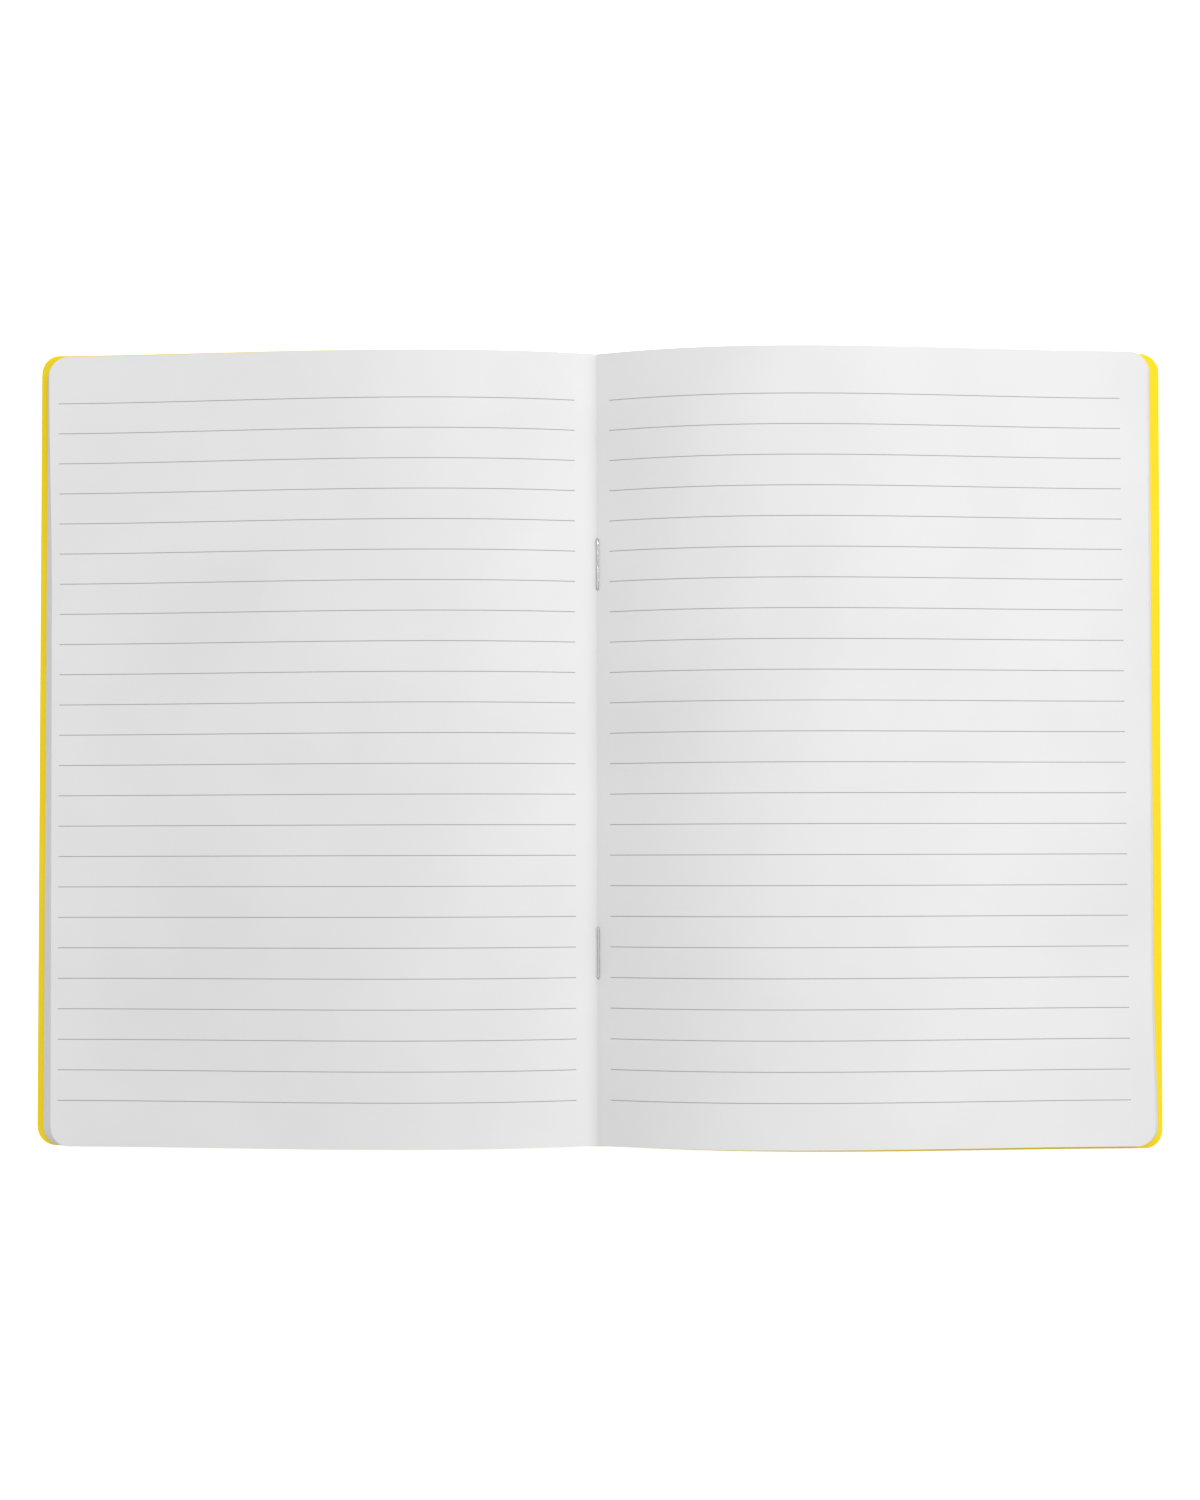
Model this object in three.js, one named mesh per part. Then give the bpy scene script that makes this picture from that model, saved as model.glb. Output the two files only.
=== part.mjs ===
import * as THREE from 'three';

// Saddle-stitched notebook lying open at its centre spread, in millimetres.
// X runs across the spread, Y to the head of the pages, Z up. The origin is on the
// table, under the centre fold, midway between head and foot.

// Sheets and cover card
const sheetCount = 16;
const paperThickness = 0.1;
const sheetPitch = 0.197;
const pageHeight = 209;
const coverThickness = 0.35;
const coverOverhang = 0.5;
const coverSkew = 0.003;
const cornerRadius = 5;

// Fold: every sheet is creased twice, beside a strip that wraps the ones inside it
const innerFoldHalfWidth = 0.5;
const foldStep = 0.2;
const coverFoldStep = 0.25;
const paperHingeGap = 0.12;
const coverHingeGap = 0.5;

// Staples
const wireDiameter = 0.48;
const stapleLength = 13;
const stapleTipGap = 0.7;
const stapleBend = 0.5;
const stapleYs = [48.5, -53.9];
const stapleSlants = [0.012, -0.014];
const legClearance = 0.09;
const seatClearance = 0.1;

// Each half of the open stack: paper widths run along the paper from the fold, the arch is
// the height of the hump beside the fold, and the edge rise lifts the fore-edge
const archSpan = 148;
const halves = {
  left: {
    side: -1,
    innerPageWidth: 146.2,
    outerPageWidth: 148.45,
    coverWidth: 150.1,
    archAtHead: 8.3,
    archAtFoot: 9.9,
    edgeRiseAtHead: 0,
    edgeRiseAtFoot: 0,
  },
  right: {
    side: 1,
    innerPageWidth: 147.9,
    outerPageWidth: 149.1,
    coverWidth: 150.9,
    archAtHead: 11.5,
    archAtFoot: 11.5,
    edgeRiseAtHead: 0,
    edgeRiseAtFoot: 2.3,
  },
};

// Facets
const archSpans = 14;
const cornerSpans = 4;
const curveSamples = 48;
const wireSides = 8;
const wireSteps = 76;
const holeSides = 8;

// Heights at the fold, from the table up
const spineUnderside = wireDiameter + seatClearance;
const coverMiddle = spineUnderside + coverThickness / 2;
const coverTop = spineUnderside + coverThickness;
const lowestSheetMiddle = coverTop + seatClearance + paperThickness / 2;
const sheetMiddle = (sheet) => lowestSheetMiddle + (sheet - 1) * sheetPitch;
const stackTop = sheetMiddle(sheetCount) + paperThickness / 2;

const coverHeight = pageHeight + 2 * coverOverhang;

// Half widths of the fold strips: sheet 1 is the outermost, sheet 16 the centre spread
const foldHalfWidth = (sheet) => innerFoldHalfWidth + (sheetCount - sheet) * foldStep;
const spineHalfWidth = foldHalfWidth(1) + coverFoldStep;

// Finishes
const paperLook = { color: 0xf0f0f0, roughness: 0.85, metalness: 0 };
const cardLook = { color: 0xf7da20, roughness: 0.7, metalness: 0 };
const steelLook = { color: 0xc9ccd0, roughness: 0.25, metalness: 1 };

const notebook = new THREE.Group();

function addPiece(name, geometry, look) {
  const piece = new THREE.Mesh(geometry, new THREE.MeshStandardMaterial(look));
  piece.name = name;
  notebook.add(piece);
  return piece;
}

// A point on a panel's middle surface: along runs on the paper from the crease, y across it
function panelPoint(panel, along, y) {
  const head = (y + panel.height / 2) / panel.height;
  const arch = THREE.MathUtils.lerp(panel.half.archAtFoot, panel.half.archAtHead, head);
  const rise = THREE.MathUtils.lerp(panel.half.edgeRiseAtFoot, panel.half.edgeRiseAtHead, head)
    - panel.settle;
  const slopeAt = (t) => (rise + 6.75 * arch * (1 - t) * (1 - 3 * t)) / archSpan;
  let x = 0;
  const stride = along / curveSamples;
  for (let sample = 0; sample < curveSamples; sample += 1) {
    const slopeHere = slopeAt(x / archSpan);
    const middle = x + (stride / 2) / Math.hypot(1, slopeHere);
    x += stride / Math.hypot(1, slopeAt(middle / archSpan));
  }
  const t = x / archSpan;
  const z = rise * t + 6.75 * arch * t * (1 - t) ** 2;
  const slope = slopeAt(t);
  return { x: panel.crease + x, z: panel.middle + z, slope };
}

// Stations along a panel: even ones over the arch, then the rounded corners
function panelStations(panel) {
  const stations = [];
  const straightEnd = panel.width - cornerRadius;
  for (let span = 0; span <= archSpans; span += 1) {
    stations.push({ along: THREE.MathUtils.lerp(panel.start, straightEnd, span / archSpans), inset: 0 });
  }
  for (let span = 1; span <= cornerSpans; span += 1) {
    const angle = (span / cornerSpans) * Math.PI / 2;
    stations.push({
      along: straightEnd + cornerRadius * Math.sin(angle),
      inset: cornerRadius * (1 - Math.cos(angle)),
    });
  }
  return stations;
}

// A thin panel lofted through four-cornered sections, one at each station
function panelGeometry(panel) {
  const positions = [];
  const stations = panelStations(panel);
  for (const station of stations) {
    const reach = panel.height / 2 - station.inset;
    for (const [end, face] of [[-1, -1], [1, -1], [1, 1], [-1, 1]]) {
      const y = end * reach;
      const point = panelPoint(panel, station.along, y);
      const lift = face * panel.thickness / 2 / Math.hypot(1, point.slope);
      const x = panel.half.side * (point.x - lift * point.slope);
      positions.push(x, y - panel.skew * x, point.z + lift);
    }
  }
  const triangles = [];
  const addQuad = (a, b, c, d) => triangles.push(a, b, c, a, c, d);
  for (let station = 0; station + 1 < stations.length; station += 1) {
    const here = station * 4;
    const there = here + 4;
    // Both faces are split from foot here to head there, so the paper keeps its thickness
    addQuad(here, there, there + 1, here + 1);
    addQuad(here + 3, here + 2, there + 2, there + 3);
    addQuad(here + 1, there + 1, there + 2, here + 2);
    addQuad(here + 3, there + 3, there, here);
  }
  const last = (stations.length - 1) * 4;
  addQuad(0, 1, 2, 3);
  addQuad(last + 3, last + 2, last + 1, last);
  if (panel.half.side > 0) {
    triangles.reverse();
  }
  const geometry = new THREE.BufferGeometry();
  geometry.setAttribute('position', new THREE.Float32BufferAttribute(positions, 3));
  geometry.setIndex(triangles);
  return geometry;
}

function leafGeometry(half, sheet) {
  const depth = (sheetCount - sheet) / (sheetCount - 1);
  const crease = foldHalfWidth(sheet);
  return panelGeometry({
    half,
    crease,
    start: paperHingeGap / 2,
    width: THREE.MathUtils.lerp(half.innerPageWidth, half.outerPageWidth, depth) - crease,
    height: pageHeight,
    thickness: paperThickness,
    middle: sheetMiddle(sheet),
    settle: spineUnderside * (sheetCount - sheet) / sheetCount,
    skew: 0,
  });
}

function coverGeometry(half) {
  return panelGeometry({
    half,
    crease: spineHalfWidth,
    start: coverHingeGap / 2,
    width: half.coverWidth - spineHalfWidth,
    height: coverHeight,
    thickness: coverThickness,
    middle: coverMiddle,
    settle: spineUnderside,
    skew: coverSkew,
  });
}

// Where the four staple legs pass through the fold
function legPlaces() {
  const places = [];
  for (const y of stapleYs) {
    places.push(y - stapleLength / 2, y + stapleLength / 2);
  }
  return places;
}

// A flat strip along the fold, pierced for the staple legs
function foldGeometry(halfWidth, height, thickness, middle) {
  const outline = new THREE.Shape();
  outline.moveTo(-halfWidth, -height / 2);
  outline.lineTo(halfWidth, -height / 2);
  outline.lineTo(halfWidth, height / 2);
  outline.lineTo(-halfWidth, height / 2);
  outline.closePath();
  for (const y of legPlaces()) {
    const hole = new THREE.Path();
    hole.absarc(0, y, wireDiameter / 2 + legClearance, 0, Math.PI * 2, true);
    outline.holes.push(hole);
  }
  const geometry = new THREE.ExtrudeGeometry(outline, {
    depth: thickness,
    bevelEnabled: false,
    curveSegments: holeSides / 2,
  });
  geometry.translate(0, 0, middle - thickness / 2);
  return geometry;
}

// One bent wire: clinched tip, leg down through the fold, crown, leg up, clinched tip
function stapleGeometry(y, slant) {
  const reach = stapleLength / 2;
  const crownZ = wireDiameter / 2;
  const clinchZ = stackTop + seatClearance + wireDiameter / 2;
  const tip = stapleTipGap / 2;
  const corners = [
    new THREE.Vector3(slant * reach, y + tip, clinchZ),
    new THREE.Vector3(0, y + reach, clinchZ),
    new THREE.Vector3(0, y + reach, crownZ),
    new THREE.Vector3(0, y - reach, crownZ),
    new THREE.Vector3(0, y - reach, clinchZ),
    new THREE.Vector3(-slant * reach, y - tip, clinchZ),
  ];
  const wire = new THREE.CurvePath();
  let from = corners[0];
  for (let corner = 1; corner + 1 < corners.length; corner += 1) {
    const bend = corners[corner];
    const entry = bend.clone().add(from.clone().sub(bend).setLength(stapleBend));
    const exit = bend.clone().add(corners[corner + 1].clone().sub(bend).setLength(stapleBend));
    wire.add(new THREE.LineCurve3(from, entry));
    wire.add(new THREE.QuadraticBezierCurve3(entry, bend, exit));
    from = exit;
  }
  wire.add(new THREE.LineCurve3(from, corners[corners.length - 1]));
  const section = new THREE.Shape();
  section.absarc(0, 0, wireDiameter / 2, 0, Math.PI * 2, false);
  return new THREE.ExtrudeGeometry(section, {
    extrudePath: wire,
    steps: wireSteps,
    curveSegments: wireSides / 2,
    bevelEnabled: false,
  });
}

for (let sheet = 1; sheet <= sheetCount; sheet += 1) {
  const number = String(sheet).padStart(2, '0');
  const stripHalfWidth = foldHalfWidth(sheet) - paperHingeGap / 2;
  addPiece(
    `sheet_fold_${number}`,
    foldGeometry(stripHalfWidth, pageHeight, paperThickness, sheetMiddle(sheet)),
    paperLook,
  );
  addPiece(`left_leaf_${number}`, leafGeometry(halves.left, sheet), paperLook);
  addPiece(`right_leaf_${number}`, leafGeometry(halves.right, sheet), paperLook);
}

addPiece('front_cover', coverGeometry(halves.left), cardLook);
addPiece('back_cover', coverGeometry(halves.right), cardLook);
addPiece(
  'cover_spine',
  foldGeometry(spineHalfWidth - coverHingeGap / 2, coverHeight, coverThickness, coverMiddle),
  cardLook,
);
addPiece('upper_staple', stapleGeometry(stapleYs[0], stapleSlants[0]), steelLook);
addPiece('lower_staple', stapleGeometry(stapleYs[1], stapleSlants[1]), steelLook);

export default notebook;
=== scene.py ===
import math

import bmesh
import bpy
import numpy as np
from mathutils import Matrix, Vector


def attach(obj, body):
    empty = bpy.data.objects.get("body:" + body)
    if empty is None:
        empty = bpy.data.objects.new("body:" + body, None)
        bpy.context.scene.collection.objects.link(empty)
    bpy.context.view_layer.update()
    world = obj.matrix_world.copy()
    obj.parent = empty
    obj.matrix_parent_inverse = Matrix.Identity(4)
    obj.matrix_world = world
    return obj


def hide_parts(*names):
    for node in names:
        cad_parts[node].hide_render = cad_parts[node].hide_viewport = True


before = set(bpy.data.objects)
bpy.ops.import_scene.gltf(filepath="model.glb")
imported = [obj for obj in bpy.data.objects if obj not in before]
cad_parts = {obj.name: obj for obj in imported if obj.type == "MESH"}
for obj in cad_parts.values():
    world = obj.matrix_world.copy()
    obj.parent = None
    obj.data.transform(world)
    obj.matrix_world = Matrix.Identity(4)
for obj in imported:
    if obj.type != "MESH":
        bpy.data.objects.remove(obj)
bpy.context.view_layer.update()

# Sizes are in millimetres, the same that the frame was built with; meshes are in metres
mm = 0.001
book = {
    "sheets": 16,
    "sheetPitch": 0.197,
    "paper": 0.1,
    "pageHeight": 208.6,
    "coverOverhang": 0.45,
    "card": 0.35,
    "cardSkew": 0.003,
    "cornerRadius": 5,
    "cornerSegments": 8,
    "archSpan": 148,
    "innerFoldHalfWidth": 0.5,
    "foldStep": 0.2,
    "coverFoldStep": 0.25,
    "wire": 0.48,
    "seat": 0.1,
    "bendSteps": 48,
}
halves = {
    "left": {
        "side": -1, "innerPage": 146.2, "outerPage": 148.45, "cover": 150.1,
        "archAtHead": 8.3, "archAtFoot": 9.9, "riseAtHead": 0, "riseAtFoot": 0,
    },
    "right": {
        "side": 1, "innerPage": 147.9, "outerPage": 149.1, "cover": 150.9,
        "archAtHead": 11.5, "archAtFoot": 11.5, "riseAtHead": 0, "riseAtFoot": 2.3,
    },
}

spineUnderside = book["wire"] + book["seat"]
cardMiddle = spineUnderside + book["card"] / 2
lowestSheet = spineUnderside + book["card"] + book["seat"] + book["paper"] / 2


def sheetMiddle(sheet):
    return lowestSheet + (sheet - 1) * book["sheetPitch"]


def foldHalfWidth(sheet):
    return book["innerFoldHalfWidth"] + (book["sheets"] - sheet) * book["foldStep"]


stackTop = sheetMiddle(book["sheets"]) + book["paper"] / 2
spineHalfWidth = foldHalfWidth(1) + book["coverFoldStep"]
coverHeight = book["pageHeight"] + 2 * book["coverOverhang"]


# Materials

def newMaterial(name):
    material = bpy.data.materials.new(name)
    material.use_nodes = True
    tree = material.node_tree
    return material, tree, tree.nodes["Principled BSDF"]


# Fine fibres and broad, faint clouds, in paper and card alike
def makeFibreGroup():
    group = bpy.data.node_groups.new("fibreGrain", "ShaderNodeTree")
    group.interface.new_socket("Place", in_out="INPUT", socket_type="NodeSocketVector")
    group.interface.new_socket("Fibre Scale", in_out="INPUT", socket_type="NodeSocketFloat")
    group.interface.new_socket("Cloud Scale", in_out="INPUT", socket_type="NodeSocketFloat")
    group.interface.new_socket("Fibre", in_out="OUTPUT", socket_type="NodeSocketFloat")
    group.interface.new_socket("Cloud", in_out="OUTPUT", socket_type="NodeSocketFloat")
    nodes, links = group.nodes, group.links
    entry = nodes.new("NodeGroupInput")
    out = nodes.new("NodeGroupOutput")
    grainWay = nodes.new("ShaderNodeMapping")  # fibres lie a little along the page's height
    grainWay.inputs["Scale"].default_value = (1.0, 0.45, 1.0)
    fibre = nodes.new("ShaderNodeTexNoise")
    fibre.inputs["Detail"].default_value = 5
    fibre.inputs["Roughness"].default_value = 0.62
    cloud = nodes.new("ShaderNodeTexNoise")
    cloud.inputs["Detail"].default_value = 3
    cloud.inputs["Roughness"].default_value = 0.5
    links.new(entry.outputs["Place"], grainWay.inputs["Vector"])
    links.new(grainWay.outputs["Vector"], fibre.inputs["Vector"])
    links.new(entry.outputs["Fibre Scale"], fibre.inputs["Scale"])
    links.new(entry.outputs["Place"], cloud.inputs["Vector"])
    links.new(entry.outputs["Cloud Scale"], cloud.inputs["Scale"])
    links.new(fibre.outputs["Fac"], out.inputs["Fibre"])
    links.new(cloud.outputs["Fac"], out.inputs["Cloud"])
    return group


fibreGroup = makeFibreGroup()


def addFibre(tree, fibreSize, cloudSize):
    place = tree.nodes.new("ShaderNodeTexCoord")
    grain = tree.nodes.new("ShaderNodeGroup")
    grain.node_tree = fibreGroup
    grain.inputs["Fibre Scale"].default_value = 1 / (fibreSize * mm)
    grain.inputs["Cloud Scale"].default_value = 1 / (cloudSize * mm)
    tree.links.new(place.outputs["Object"], grain.inputs["Place"])
    return grain


# A colour that drifts between two near shades with a value from 0 to 1
def addShades(tree, value, dark, light, low=0.35, high=0.65):
    shades = tree.nodes.new("ShaderNodeValToRGB")
    shades.color_ramp.elements[0].position = low
    shades.color_ramp.elements[0].color = (*dark, 1)
    shades.color_ramp.elements[1].position = high
    shades.color_ramp.elements[1].color = (*light, 1)
    tree.links.new(value, shades.inputs["Fac"])
    return shades.outputs["Color"]


def addRange(tree, value, low, high):
    spread = tree.nodes.new("ShaderNodeMapRange")
    spread.inputs["From Min"].default_value = 0.3
    spread.inputs["From Max"].default_value = 0.7
    spread.inputs["To Min"].default_value = low
    spread.inputs["To Max"].default_value = high
    tree.links.new(value, spread.inputs["Value"])
    return spread.outputs["Result"]


def addBump(tree, shader, height, strength, depth, under=None):
    bump = tree.nodes.new("ShaderNodeBump")
    bump.inputs["Strength"].default_value = strength
    bump.inputs["Distance"].default_value = depth * mm
    tree.links.new(height, bump.inputs["Height"])
    if under:
        tree.links.new(under, bump.inputs["Normal"])
    tree.links.new(bump.outputs["Normal"], shader.inputs["Normal"])
    return bump.outputs["Normal"]


paper = {
    "dark": (0.77, 0.77, 0.77),
    "light": (0.80, 0.80, 0.80),
    "roughness": (0.78, 0.9),
    "fibreSize": 0.5,
    "cloudSize": 38,
    "fibreDepth": 0.012,
    "cockleDepth": 0.16,
    "shine": 0.3,
    "blockTone": (0.785, 0.785, 0.785),
    "blockRoughness": 0.85,
    "ruleTone": (0.33, 0.33, 0.335),
    "ruleRoughness": 0.8,
}


# Uncoated writing paper: faint clouds of tone, fibres in the bump and a very slight cockle
def makePaper():
    material, tree, shader = newMaterial("writingPaper")
    grain = addFibre(tree, paper["fibreSize"], paper["cloudSize"])
    colour = addShades(tree, grain.outputs["Cloud"], paper["dark"], paper["light"])
    rough = addRange(tree, grain.outputs["Fibre"], *paper["roughness"])
    tree.links.new(colour, shader.inputs["Base Color"])
    tree.links.new(rough, shader.inputs["Roughness"])
    cockle = addBump(tree, shader, grain.outputs["Cloud"], 0.5, paper["cockleDepth"])
    addBump(tree, shader, grain.outputs["Fibre"], 0.5, paper["fibreDepth"], under=cockle)
    shader.inputs["Specular IOR Level"].default_value = paper["shine"]
    return material


def makeEvenPaper(name, tone, roughness):
    material, tree, shader = newMaterial(name)
    shader.inputs["Base Color"].default_value = (*tone, 1)
    shader.inputs["Roughness"].default_value = roughness
    shader.inputs["Specular IOR Level"].default_value = paper["shine"]
    return material


card = {
    "dark": (0.932, 0.7, 0.009),
    "light": (0.962, 0.728, 0.011),
    "roughness": (0.55, 0.7),
    "fibreSize": 0.8,
    "cloudSize": 26,
    "fibreDepth": 0.03,
    "shine": 0.25,
}


# Yellow cover card, coloured all through, with a toothy matt face
def makeCard():
    material, tree, shader = newMaterial("coverCard")
    grain = addFibre(tree, card["fibreSize"], card["cloudSize"])
    colour = addShades(tree, grain.outputs["Cloud"], card["dark"], card["light"])
    rough = addRange(tree, grain.outputs["Fibre"], *card["roughness"])
    tree.links.new(colour, shader.inputs["Base Color"])
    tree.links.new(rough, shader.inputs["Roughness"])
    addBump(tree, shader, grain.outputs["Fibre"], 0.6, card["fibreDepth"])
    shader.inputs["Specular IOR Level"].default_value = card["shine"]
    return material


wire = {
    "dark": (0.50, 0.51, 0.525),
    "light": (0.64, 0.65, 0.665),
    "roughness": (0.14, 0.26),
    "scratchesAcross": 9000,
    "scratchesAlong": 300,
}


# Bright drawn wire: fine scratches run along it
def makeWire():
    material, tree, shader = newMaterial("stapleWire")
    place = tree.nodes.new("ShaderNodeTexCoord")
    along = tree.nodes.new("ShaderNodeMapping")
    across = wire["scratchesAcross"]
    along.inputs["Scale"].default_value = (across, wire["scratchesAlong"], across)
    scratch = tree.nodes.new("ShaderNodeTexNoise")
    scratch.inputs["Scale"].default_value = 1
    scratch.inputs["Detail"].default_value = 3
    tree.links.new(place.outputs["Object"], along.inputs["Vector"])
    tree.links.new(along.outputs["Vector"], scratch.inputs["Vector"])
    colour = addShades(tree, scratch.outputs["Fac"], wire["dark"], wire["light"])
    rough = addRange(tree, scratch.outputs["Fac"], *wire["roughness"])
    tree.links.new(colour, shader.inputs["Base Color"])
    tree.links.new(rough, shader.inputs["Roughness"])
    shader.inputs["Metallic"].default_value = 1
    return material


paperLook = makePaper()
# The leaves inside the block show little more than their edges, so their tone is even
blockLook = makeEvenPaper("blockPaper", paper["blockTone"], paper["blockRoughness"])
inkLook = makeEvenPaper("ruleInk", paper["ruleTone"], paper["ruleRoughness"])
cardLook = makeCard()
wireLook = makeWire()
print("notebook: materials made")


# Shapes

def allOf(bm):
    return bm.verts[:] + bm.edges[:] + bm.faces[:]


def cutAt(bm, place, normal):
    bmesh.ops.bisect_plane(bm, geom=allOf(bm), plane_co=place, plane_no=normal, dist=1e-5)


# A flat panel, x along the paper from the crease and y up the page, with its fore-edge
# corners rounded and cut into narrow strips so that it can bend
def flatPanel(start, width, height, strips):
    bm = bmesh.new()
    bmesh.ops.create_grid(bm, x_segments=1, y_segments=1, size=0.5)
    bmesh.ops.scale(bm, vec=(width - start, height, 1), verts=bm.verts)
    bmesh.ops.translate(bm, vec=((start + width) / 2, 0, 0), verts=bm.verts)
    foreEdge = [v for v in bm.verts if v.co.x > width / 2]
    bmesh.ops.bevel(
        bm, geom=foreEdge, offset=book["cornerRadius"], offset_type="OFFSET",
        segments=book["cornerSegments"], profile=0.5, affect="VERTICES", material=-1,
    )
    for strip in range(1, strips):
        cutAt(bm, (start + (width - start) * strip / strips, 0, 0), (1, 0, 0))
    return bm


# Gives a flat panel its thickness, half to each side of z = 0
def thicken(bm, thickness):
    bmesh.ops.recalc_face_normals(bm, faces=bm.faces)
    bmesh.ops.solidify(bm, geom=bm.faces[:], thickness=thickness)
    middle = (min(v.co.z for v in bm.verts) + max(v.co.z for v in bm.verts)) / 2
    bmesh.ops.translate(bm, vec=(0, 0, -middle), verts=bm.verts)
    bmesh.ops.recalc_face_normals(bm, faces=bm.faces)


# Rounds the two long edges at a crease
def roundCrease(bm, x, radius):
    def runsAlongCrease(edge):
        ends = [v.co for v in edge.verts]
        return all(abs(end.x - x) < 1e-3 for end in ends) and abs(ends[0].z - ends[1].z) < 1e-4

    rims = [e for e in bm.edges if runsAlongCrease(e)]
    bmesh.ops.bevel(
        bm, geom=rims, offset=radius, offset_type="OFFSET",
        segments=4, profile=0.5, affect="EDGES", material=-1,
    )


def meshOf(bm, name):
    mesh = bpy.data.meshes.new(name)
    bm.to_mesh(mesh)
    bm.free()
    return mesh


def pointsOf(mesh):
    points = np.empty(len(mesh.vertices) * 3)
    mesh.vertices.foreach_get("co", points)
    return points.reshape(-1, 3)


def setPoints(mesh, points):
    mesh.vertices.foreach_set("co", points.ravel())
    mesh.update()


# Bends flat points into the hump that the paper makes beside the fold: a cubic that starts at
# the crease, is highest a third of the way out and runs level into the fore-edge
def bend(points, panel):
    half = panel["half"]
    along, y, lift = points.T
    head = (y + panel["height"] / 2) / panel["height"]
    arch = half["archAtFoot"] + (half["archAtHead"] - half["archAtFoot"]) * head
    rise = half["riseAtFoot"] + (half["riseAtHead"] - half["riseAtFoot"]) * head - panel["settle"]
    span = book["archSpan"]

    def slopeAt(x):
        t = x / span
        return (rise + 6.75 * arch * (1 - t) * (1 - 3 * t)) / span

    steps = book["bendSteps"]
    x = np.zeros_like(along)
    stride = along / steps
    for step in range(steps):  # walks along the paper, half a stride ahead each time
        middle = x + stride / 2 / np.hypot(1, slopeAt(x))
        x = x + stride / np.hypot(1, slopeAt(middle))
    t = x / span
    slope = slopeAt(x)
    z = panel["middle"] + rise * t + 6.75 * arch * t * (1 - t) ** 2
    up = lift / np.hypot(1, slope)
    across = half["side"] * (panel["crease"] + x - up * slope)
    return np.stack([across, y - panel["skew"] * across, z + up], axis=1) * mm


def addPiece(name, mesh, looks, body, node, sharpAngle=35):
    mesh.name = name
    for look in looks:
        mesh.materials.append(look)
    piece = bpy.data.objects.new(name, mesh)
    bpy.context.scene.collection.objects.link(piece)
    mesh.shade_smooth()
    mesh.set_sharp_from_angle(angle=math.radians(sharpAngle))
    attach(piece, body)
    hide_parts(node)
    return piece


def ease(value, start, end):
    t = np.clip((value - start) / (end - start), 0, 1)
    return t * t * (3 - 2 * t)


# The fore-edges aren't quite true: the leaves fan out a little more towards the foot on the
# left, and on the right they draw in down the page until the lifted corner swings out. Each
# edge moves out by a shift at mid height, by a drift for every millimetre up the page, and by
# a swing that grows from one height to another.
foreEdge = {
    "reach": 7,
    "left": {
        "topLeaf": {"shift": -0.28, "drift": 0, "swing": 0.86, "swingFrom": 40, "swingTo": 100},
        "lowestLeaf": {"shift": -0.27, "drift": -0.0036, "swing": 0, "swingFrom": 0, "swingTo": 1},
        "cover": {"shift": -0.02, "drift": -0.0011, "swing": -0.5, "swingFrom": 0, "swingTo": 110},
    },
    "right": {
        "topLeaf": {
            "shift": -0.57, "drift": 0.0052, "swing": 0.9, "swingFrom": -60, "swingTo": -105,
        },
        "lowestLeaf": {
            "shift": -0.57, "drift": 0.0052, "swing": 0.9, "swingFrom": -60, "swingTo": -105,
        },
        "cover": {"shift": -0.07, "drift": 0.007, "swing": 0, "swingFrom": 0, "swingTo": 1},
    },
}


def edgeShift(edge, y):
    swing = edge["swing"] * ease(y, edge["swingFrom"], edge["swingTo"])
    return edge["shift"] + edge["drift"] * y + swing


# Moves the last few millimetres before the fore-edge
def trimForeEdge(points, width, shift):
    reach = foreEdge["reach"]
    nearEdge = np.clip((points[:, 0] - (width - reach)) / reach, 0, 1)
    points[:, 0] += nearEdge * shift


# Ruled leaves

rules = {
    "count": 24,
    "firstY": 91.75,
    "pitch": 8.0,
    "thickness": 0.2,
    "left": {"foldEnd": 6.2, "edgeMarginAtHead": 2.35, "edgeMarginAtFoot": 1.85},
    "right": {"foldEnd": 3.6, "edgeMarginAtHead": 7.55, "edgeMarginAtFoot": 6.55},
    "strips": 48,
}


# One flat ruled leaf of each half; the faces that lie under a rule take the ink's slot
def flatLeaf(name, half):
    width = half["innerPage"] - book["innerFoldHalfWidth"]
    bm = flatPanel(0, width, book["pageHeight"], rules["strips"])
    block = rules[name]
    foldEnd = block["foldEnd"] - book["innerFoldHalfWidth"]
    marginMiddle = (block["edgeMarginAtHead"] + block["edgeMarginAtFoot"]) / 2
    edgeEnd = width - marginMiddle
    lean = (block["edgeMarginAtHead"] - block["edgeMarginAtFoot"]) / book["pageHeight"]
    cutAt(bm, (foldEnd, 0, 0), (1, 0, 0))
    cutAt(bm, (edgeEnd, 0, 0), (1, lean, 0))
    ruleYs = [rules["firstY"] - rules["pitch"] * line for line in range(rules["count"])]
    for y in ruleYs:
        cutAt(bm, (0, y - rules["thickness"] / 2, 0), (0, 1, 0))
        cutAt(bm, (0, y + rules["thickness"] / 2, 0), (0, 1, 0))
    for face in bm.faces:
        place = face.calc_center_median()
        onLine = any(abs(place.y - y) < rules["thickness"] / 2 for y in ruleYs)
        if onLine and foldEnd < place.x < edgeEnd - lean * place.y:
            face.material_index = 1
    thicken(bm, book["paper"])
    return meshOf(bm, name + "FlatLeaf")


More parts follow.
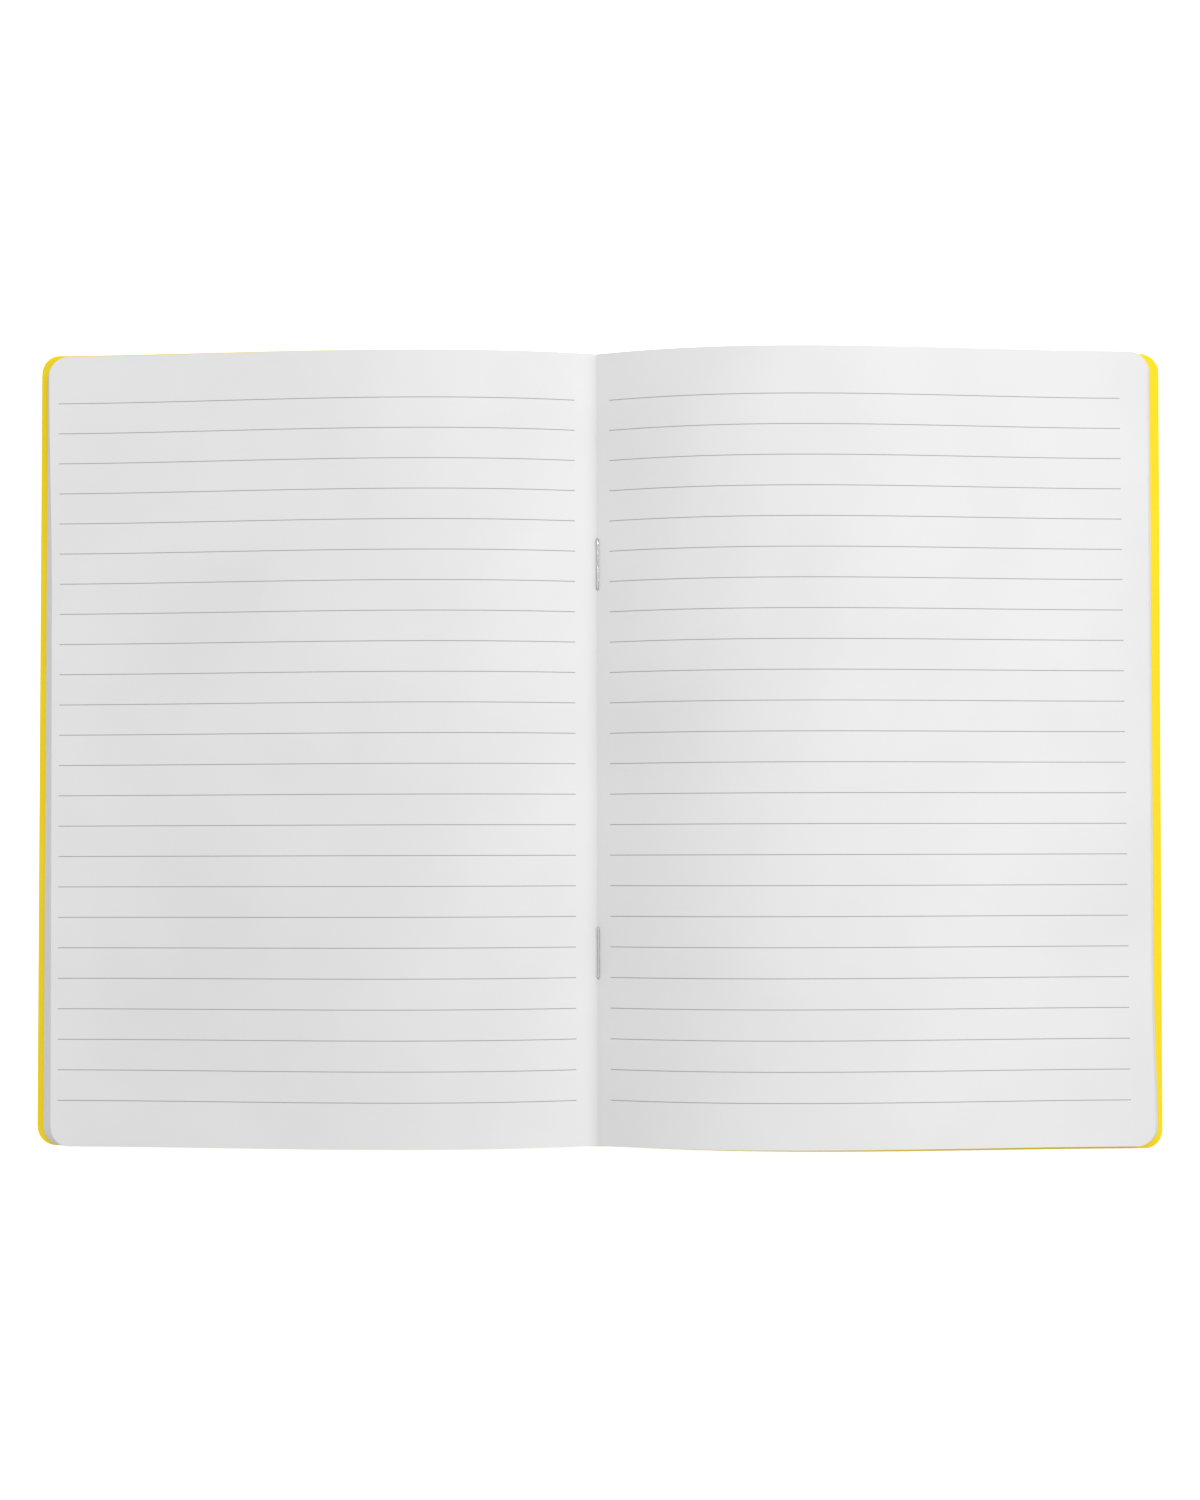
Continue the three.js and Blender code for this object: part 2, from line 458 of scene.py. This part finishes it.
def makeLeaves():
    sheets = book["sheets"]
    for name, half in halves.items():
        flat = flatLeaf(name, half)
        flatPoints = pointsOf(flat)
        innerWidth = half["innerPage"] - book["innerFoldHalfWidth"]
        for sheet in range(1, sheets + 1):
            depth = (sheets - sheet) / (sheets - 1)
            crease = foldHalfWidth(sheet)
            width = half["innerPage"] + (half["outerPage"] - half["innerPage"]) * depth - crease
            points = flatPoints.copy()
            points[:, 0] *= width / innerWidth
            topEdge = edgeShift(foreEdge[name]["topLeaf"], points[:, 1])
            lowestEdge = edgeShift(foreEdge[name]["lowestLeaf"], points[:, 1])
            trimForeEdge(points, width, topEdge + (lowestEdge - topEdge) * depth)
            panel = {
                "half": half, "crease": crease, "height": book["pageHeight"], "skew": 0,
                "middle": sheetMiddle(sheet), "settle": spineUnderside * (sheets - sheet) / sheets,
            }
            leaf = flat.copy()
            setPoints(leaf, bend(points, panel))
            if half["side"] < 0:
                leaf.flip_normals()
            node = "%s_leaf_%02d" % (name, sheet)
            shown = sheet in (1, sheets - 1, sheets)
            looks = [paperLook if shown else blockLook, inkLook]
            addPiece("%sLeaf%02d" % (name, sheet), leaf, looks, node, node)
        bpy.data.meshes.remove(flat)


makeLeaves()
print("notebook: leaves made")


# Fold strips and spine

fold = {
    "dip": 0.25,
    "legHole": 0.33,
    "stapleYs": (48.5, -53.9),
    "stapleLength": 13,
    "rowHeight": 12,
    "cardRound": 0.17,
    "spineTuck": 0.15,
    "spineInset": 0.02,
}


# A flat strip with the four leg holes, filled from its outline
def flatStrip(halfWidth, height, thickness):
    bm = bmesh.new()
    bmesh.ops.create_grid(bm, x_segments=1, y_segments=1, size=0.5)
    bmesh.ops.scale(bm, vec=(2 * halfWidth, height, 1), verts=bm.verts)
    bmesh.ops.delete(bm, geom=bm.faces[:], context="FACES_ONLY")
    longEdges = [e for e in bm.edges if abs(e.verts[0].co.y - e.verts[1].co.y) > height / 2]
    rows = round(height / fold["rowHeight"])
    bmesh.ops.subdivide_edges(bm, edges=longEdges, cuts=rows - 1)
    for y in fold["stapleYs"]:
        for end in (-1, 1):
            place = Matrix.Translation((0, y + end * fold["stapleLength"] / 2, 0))
            bmesh.ops.create_circle(bm, segments=16, radius=fold["legHole"], matrix=place)
    bmesh.ops.triangle_fill(bm, use_beauty=True, use_dissolve=False, edges=bm.edges[:])
    for share in (-0.5, 0, 0.5):
        cutAt(bm, (share * book["innerFoldHalfWidth"], 0, 0), (1, 0, 0))
    thicken(bm, thickness)
    return bm


def makeFoldStrips():
    sheets = book["sheets"]
    for sheet in range(1, sheets + 1):
        halfWidth = foldHalfWidth(sheet)
        strip = meshOf(flatStrip(halfWidth, book["pageHeight"], book["paper"]), "strip")
        points = pointsOf(strip)
        dip = fold["dip"] * (sheet - 1) / (sheets - 1)  # the centre sheet is creased deepest
        nearness = np.clip(1 - np.abs(points[:, 0]) / book["innerFoldHalfWidth"], 0, 1)
        points[:, 2] += sheetMiddle(sheet) - dip * nearness
        setPoints(strip, points * mm)
        node = "sheet_fold_%02d" % sheet
        look = paperLook if sheet == sheets else blockLook
        addPiece("sheetFold%02d" % sheet, strip, [look], "root", node, sharpAngle=50)


# Cover and spine meet in a bead on the crease itself: the panel's round end turns in its place
# and always fills the bend, with the end of the spine tucked inside it
def makeSpine():
    halfWidth = spineHalfWidth + fold["spineTuck"]
    bm = flatStrip(halfWidth, coverHeight - 2 * fold["spineInset"], book["card"])
    roundCrease(bm, halfWidth, fold["cardRound"])
    roundCrease(bm, -halfWidth, fold["cardRound"])
    spine = meshOf(bm, "spine")
    points = pointsOf(spine)
    points[:, 2] += cardMiddle
    points[:, 1] -= book["cardSkew"] * points[:, 0]
    setPoints(spine, points * mm)
    addPiece("coverSpine", spine, [cardLook], "root", "cover_spine")


makeFoldStrips()
makeSpine()
print("notebook: folds made")


# Cover panels

cover = {
    "strips": 48,
    "nodes": {"left": "front_cover", "right": "back_cover"},
}


def makeCovers():
    for name, half in halves.items():
        node = cover["nodes"][name]
        width = half["cover"] - spineHalfWidth
        crease = -book["card"] / 2
        bm = flatPanel(crease, width, coverHeight, cover["strips"])
        thicken(bm, book["card"])
        roundCrease(bm, crease, fold["cardRound"])
        panelMesh = meshOf(bm, node)
        panel = {
            "half": half, "crease": spineHalfWidth, "height": coverHeight,
            "skew": book["cardSkew"], "middle": cardMiddle, "settle": spineUnderside,
        }
        points = pointsOf(panelMesh)
        trimForeEdge(points, width, edgeShift(foreEdge[name]["cover"], points[:, 1]))
        setPoints(panelMesh, bend(points, panel))
        if half["side"] < 0:
            panelMesh.flip_normals()
        addPiece(name + "CoverPanel", panelMesh, [cardLook], node, node)


makeCovers()
print("notebook: covers made")


# Staples

# The clinched legs lie in the valley of the fold. Their bows to the side, of the upper leg and
# of the lower one, stay under 0.2 so that a page clears them when it is turned up.
staple = {
    "tipGap": 0.35,
    "clinchHeight": 0.12,
    "upperBows": (0.12, 0.1),
    "lowerBows": (0.1, 0.12),
    "bowShares": (0.2, 0.45, 0.7),
    "tipLean": 0.1,
    "bendReach": 0.45,
    "hump": 0.05,
    "tipDrop": 0.03,
}


# The wire's way: clinched tip, bow, leg down, crown under the spine and the same back up
def staplePath(y, bows):
    reach = fold["stapleLength"] / 2
    crownZ = book["wire"] / 2
    clinchZ = stackTop + staple["clinchHeight"]
    bendReach = staple["bendReach"]

    def leg(end, bow):
        tipY = end * staple["tipGap"] / 2
        bendY = end * reach
        way = [(staple["tipLean"] * bow, tipY, clinchZ - staple["tipDrop"])]
        for share in staple["bowShares"]:
            side = bow * math.sin(math.pi * share)
            way.append((side, tipY + (bendY - tipY) * share, clinchZ + staple["hump"] * share))
        way.append((0, bendY - end * bendReach, clinchZ + staple["hump"]))
        way.append((0, bendY, clinchZ))
        way.append((0, bendY, clinchZ - bendReach))
        way.append((0, bendY, crownZ + bendReach))
        way.append((0, bendY, crownZ))
        way.append((0, bendY - end * bendReach, crownZ))
        return way

    upper, lower = leg(1, bows[0]), leg(-1, bows[1])
    return [(x, y + dy, z) for x, dy, z in upper + lower[::-1]]


def makeStaples():
    for node, y, bows in (
        ("upper_staple", fold["stapleYs"][0], staple["upperBows"]),
        ("lower_staple", fold["stapleYs"][1], staple["lowerBows"]),
    ):
        way = staplePath(y, bows)
        curve = bpy.data.curves.new(node, "CURVE")
        curve.dimensions = "3D"
        curve.bevel_depth = book["wire"] / 2 * mm
        curve.bevel_resolution = 4
        curve.use_fill_caps = True
        spline = curve.splines.new("NURBS")
        spline.points.add(len(way) - 1)
        for point, place in zip(spline.points, way):
            point.co = (*(Vector(place) * mm), 1)
        spline.order_u = 3
        spline.use_endpoint_u = True
        spline.resolution_u = 8
        bent = bpy.data.objects.new(node, curve)
        mesh = bpy.data.meshes.new_from_object(bent)
        bpy.data.objects.remove(bent)
        bm = bmesh.new()
        bm.from_mesh(mesh)
        bmesh.ops.remove_doubles(bm, verts=bm.verts, dist=1e-6)
        bmesh.ops.recalc_face_normals(bm, faces=bm.faces)
        bm.to_mesh(mesh)
        bm.free()
        mesh.materials.clear()
        addPiece(node.replace("_s", "S"), mesh, [wireLook], "root", node)


makeStaples()
print("notebook: staples made")


# Floor, light and camera

room = {
    "floorSize": 6,
    "floorColour": 0.86,
    "floorWhite": 0.6,
    "sky": 0.735,
    "keyPlace": (0.9, 0.2, 0.35),
    "keySize": 0.2,
    "keyPower": 2.95,
    "topPlace": (0.05, 0.5, 0.6),
    "topSize": 0.6,
    "topPower": 1.38,
}


# One where the ray comes from the camera, a mirror or glass, and else nothing
def seenDirectly(tree):
    path = tree.nodes.new("ShaderNodeLightPath")
    total = path.outputs["Is Camera Ray"]
    for name in ("Is Glossy Ray", "Is Transmission Ray"):
        both = tree.nodes.new("ShaderNodeMath")
        both.operation = "MAXIMUM"
        tree.links.new(total, both.inputs[0])
        tree.links.new(path.outputs[name], both.inputs[1])
        total = both.outputs["Value"]
    return total


def makeFloor():
    bm = bmesh.new()
    bmesh.ops.create_grid(bm, x_segments=1, y_segments=1, size=room["floorSize"] / 2)
    floor = bpy.data.objects.new("floor", meshOf(bm, "floor"))
    bpy.context.scene.collection.objects.link(floor)
    material, tree, shader = newMaterial("paleFloor")
    shader.inputs["Base Color"].default_value = (*[room["floorColour"]] * 3, 1)
    shader.inputs["Roughness"].default_value = 0.9
    glow = tree.nodes.new("ShaderNodeMath")
    glow.operation = "MULTIPLY"
    glow.inputs[1].default_value = room["floorWhite"]
    tree.links.new(seenDirectly(tree), glow.inputs[0])
    shader.inputs["Emission Color"].default_value = (1, 1, 1, 1)
    tree.links.new(glow.outputs["Value"], shader.inputs["Emission Strength"])
    floor.data.materials.append(material)


def makeSky():
    world = bpy.data.worlds.new("studio")
    bpy.context.scene.world = world
    world.use_nodes = True
    tree = world.node_tree
    sky = tree.nodes["Background"]
    sky.inputs["Color"].default_value = (1, 1, 1, 1)
    level = tree.nodes.new("ShaderNodeMapRange")
    level.inputs["To Min"].default_value = room["sky"]
    level.inputs["To Max"].default_value = 1
    tree.links.new(seenDirectly(tree), level.inputs["Value"])
    tree.links.new(level.outputs["Result"], sky.inputs["Strength"])


def addLamp(name, place, size, power):
    light = bpy.data.lights.new(name, "AREA")
    light.shape = "DISK"
    light.size = size
    light.energy = power
    lamp = bpy.data.objects.new(name, light)
    bpy.context.scene.collection.objects.link(lamp)
    lamp.location = place
    lamp.rotation_euler = (-Vector(place)).to_track_quat("-Z", "Y").to_euler()


# The camera hangs over the spread, a little off square in every turn
shot = {
    "pixelsPerHeight": 1500,
    "focalPixels": 2762.1,
    "distance": 731.16,
    "pitch": -2.2560,
    "yaw": -0.8673,
    "roll": 0.1771,
    "aim": (0.526, -0.421, 0),
}


def addCamera():
    turn = (
        Matrix.Rotation(math.radians(shot["roll"]), 3, "Z")
        @ Matrix.Rotation(math.radians(shot["yaw"]), 3, "Y")
        @ Matrix.Rotation(math.radians(shot["pitch"]), 3, "X")
    ).transposed()
    lens = bpy.data.cameras.new("camera")
    lens.sensor_width = 36
    lens.sensor_fit = "AUTO"
    lens.lens = 36 * shot["focalPixels"] / shot["pixelsPerHeight"]
    lens.clip_start = 0.01
    camera = bpy.data.objects.new("camera", lens)
    bpy.context.scene.collection.objects.link(camera)
    place = Vector(shot["aim"]) + turn @ Vector((0, 0, shot["distance"]))
    camera.matrix_world = Matrix.Translation(place * mm) @ turn.to_4x4()
    bpy.context.scene.camera = camera


makeFloor()
makeSky()
addLamp("key", room["keyPlace"], room["keySize"], room["keyPower"])
addLamp("top", room["topPlace"], room["topSize"], room["topPower"])
addCamera()
bpy.context.scene.view_settings.view_transform = "Standard"
print("notebook: room and camera made")
